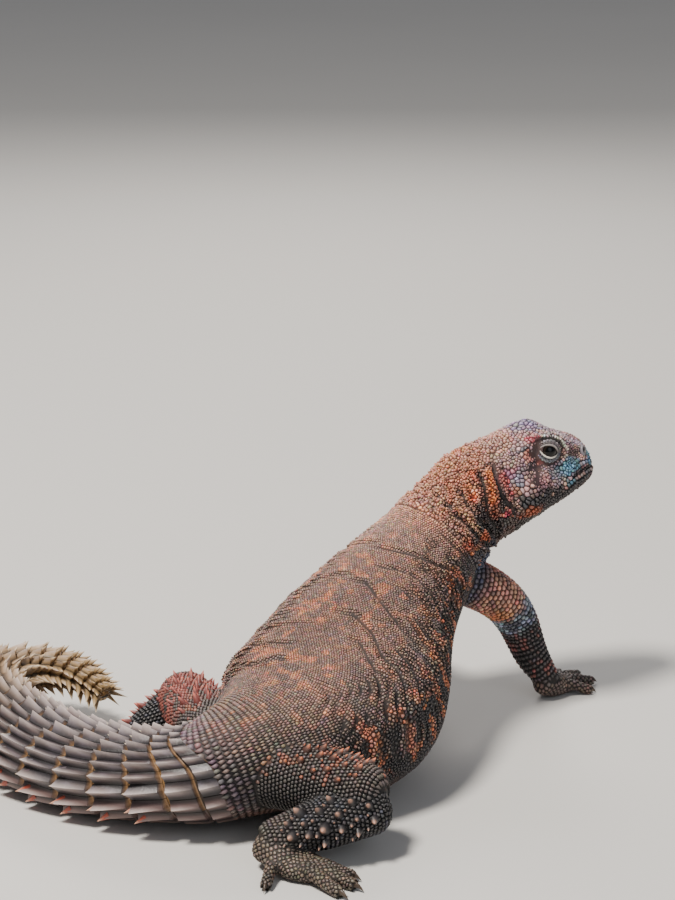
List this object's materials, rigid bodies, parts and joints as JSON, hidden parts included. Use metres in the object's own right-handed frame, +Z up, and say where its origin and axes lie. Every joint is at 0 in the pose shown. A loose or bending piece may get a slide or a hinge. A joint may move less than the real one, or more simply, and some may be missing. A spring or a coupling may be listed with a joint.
{
  "type": "spiny-tailed lizard model",
  "caption": "Life-size still model of a red spiny-tailed lizard, propped on its front legs with its head turned and its ringed, spiny tail curled round.",
  "frame": {"origin": "middle of the model's footprint, on the floor that the belly and feet rest on", "axes": "+X from the hips towards the chest, +Y to the animal's left, where the tail curls round, +Z up"},
  "size_m": [0.1959, 0.1762, 0.0918],
  "materials": {
    "head_skin": "dry bead-like scales, salmon pink and slate",
    "body_skin": "dry fine scales, brown with orange spots",
    "tail_skin": "horny keeled plates, grey-brown",
    "leg_skin": "dry scales with horny cones, dark brown",
    "eye": "wet, near black"
  },
  "bodies": {
    "root": {"head": "head_skin", "eye_left": "eye", "eye_right": "eye", "neck": "head_skin", "torso": "body_skin", "tail_base": "tail_skin", "tail_front": "tail_skin", "tail_bend": "tail_skin", "tail_rear": "tail_skin", "tail_tip": "tail_skin", "upper_arm_right": "leg_skin", "forearm_right": "leg_skin", "hand_right": "leg_skin", "thigh_right": "leg_skin", "shin_right": "leg_skin", "foot_right": "leg_skin", "upper_arm_left": "leg_skin", "forearm_left": "leg_skin", "hand_left": "leg_skin", "thigh_left": "leg_skin", "shin_left": "leg_skin", "foot_left": "leg_skin"}
  },
  "joints": []
}
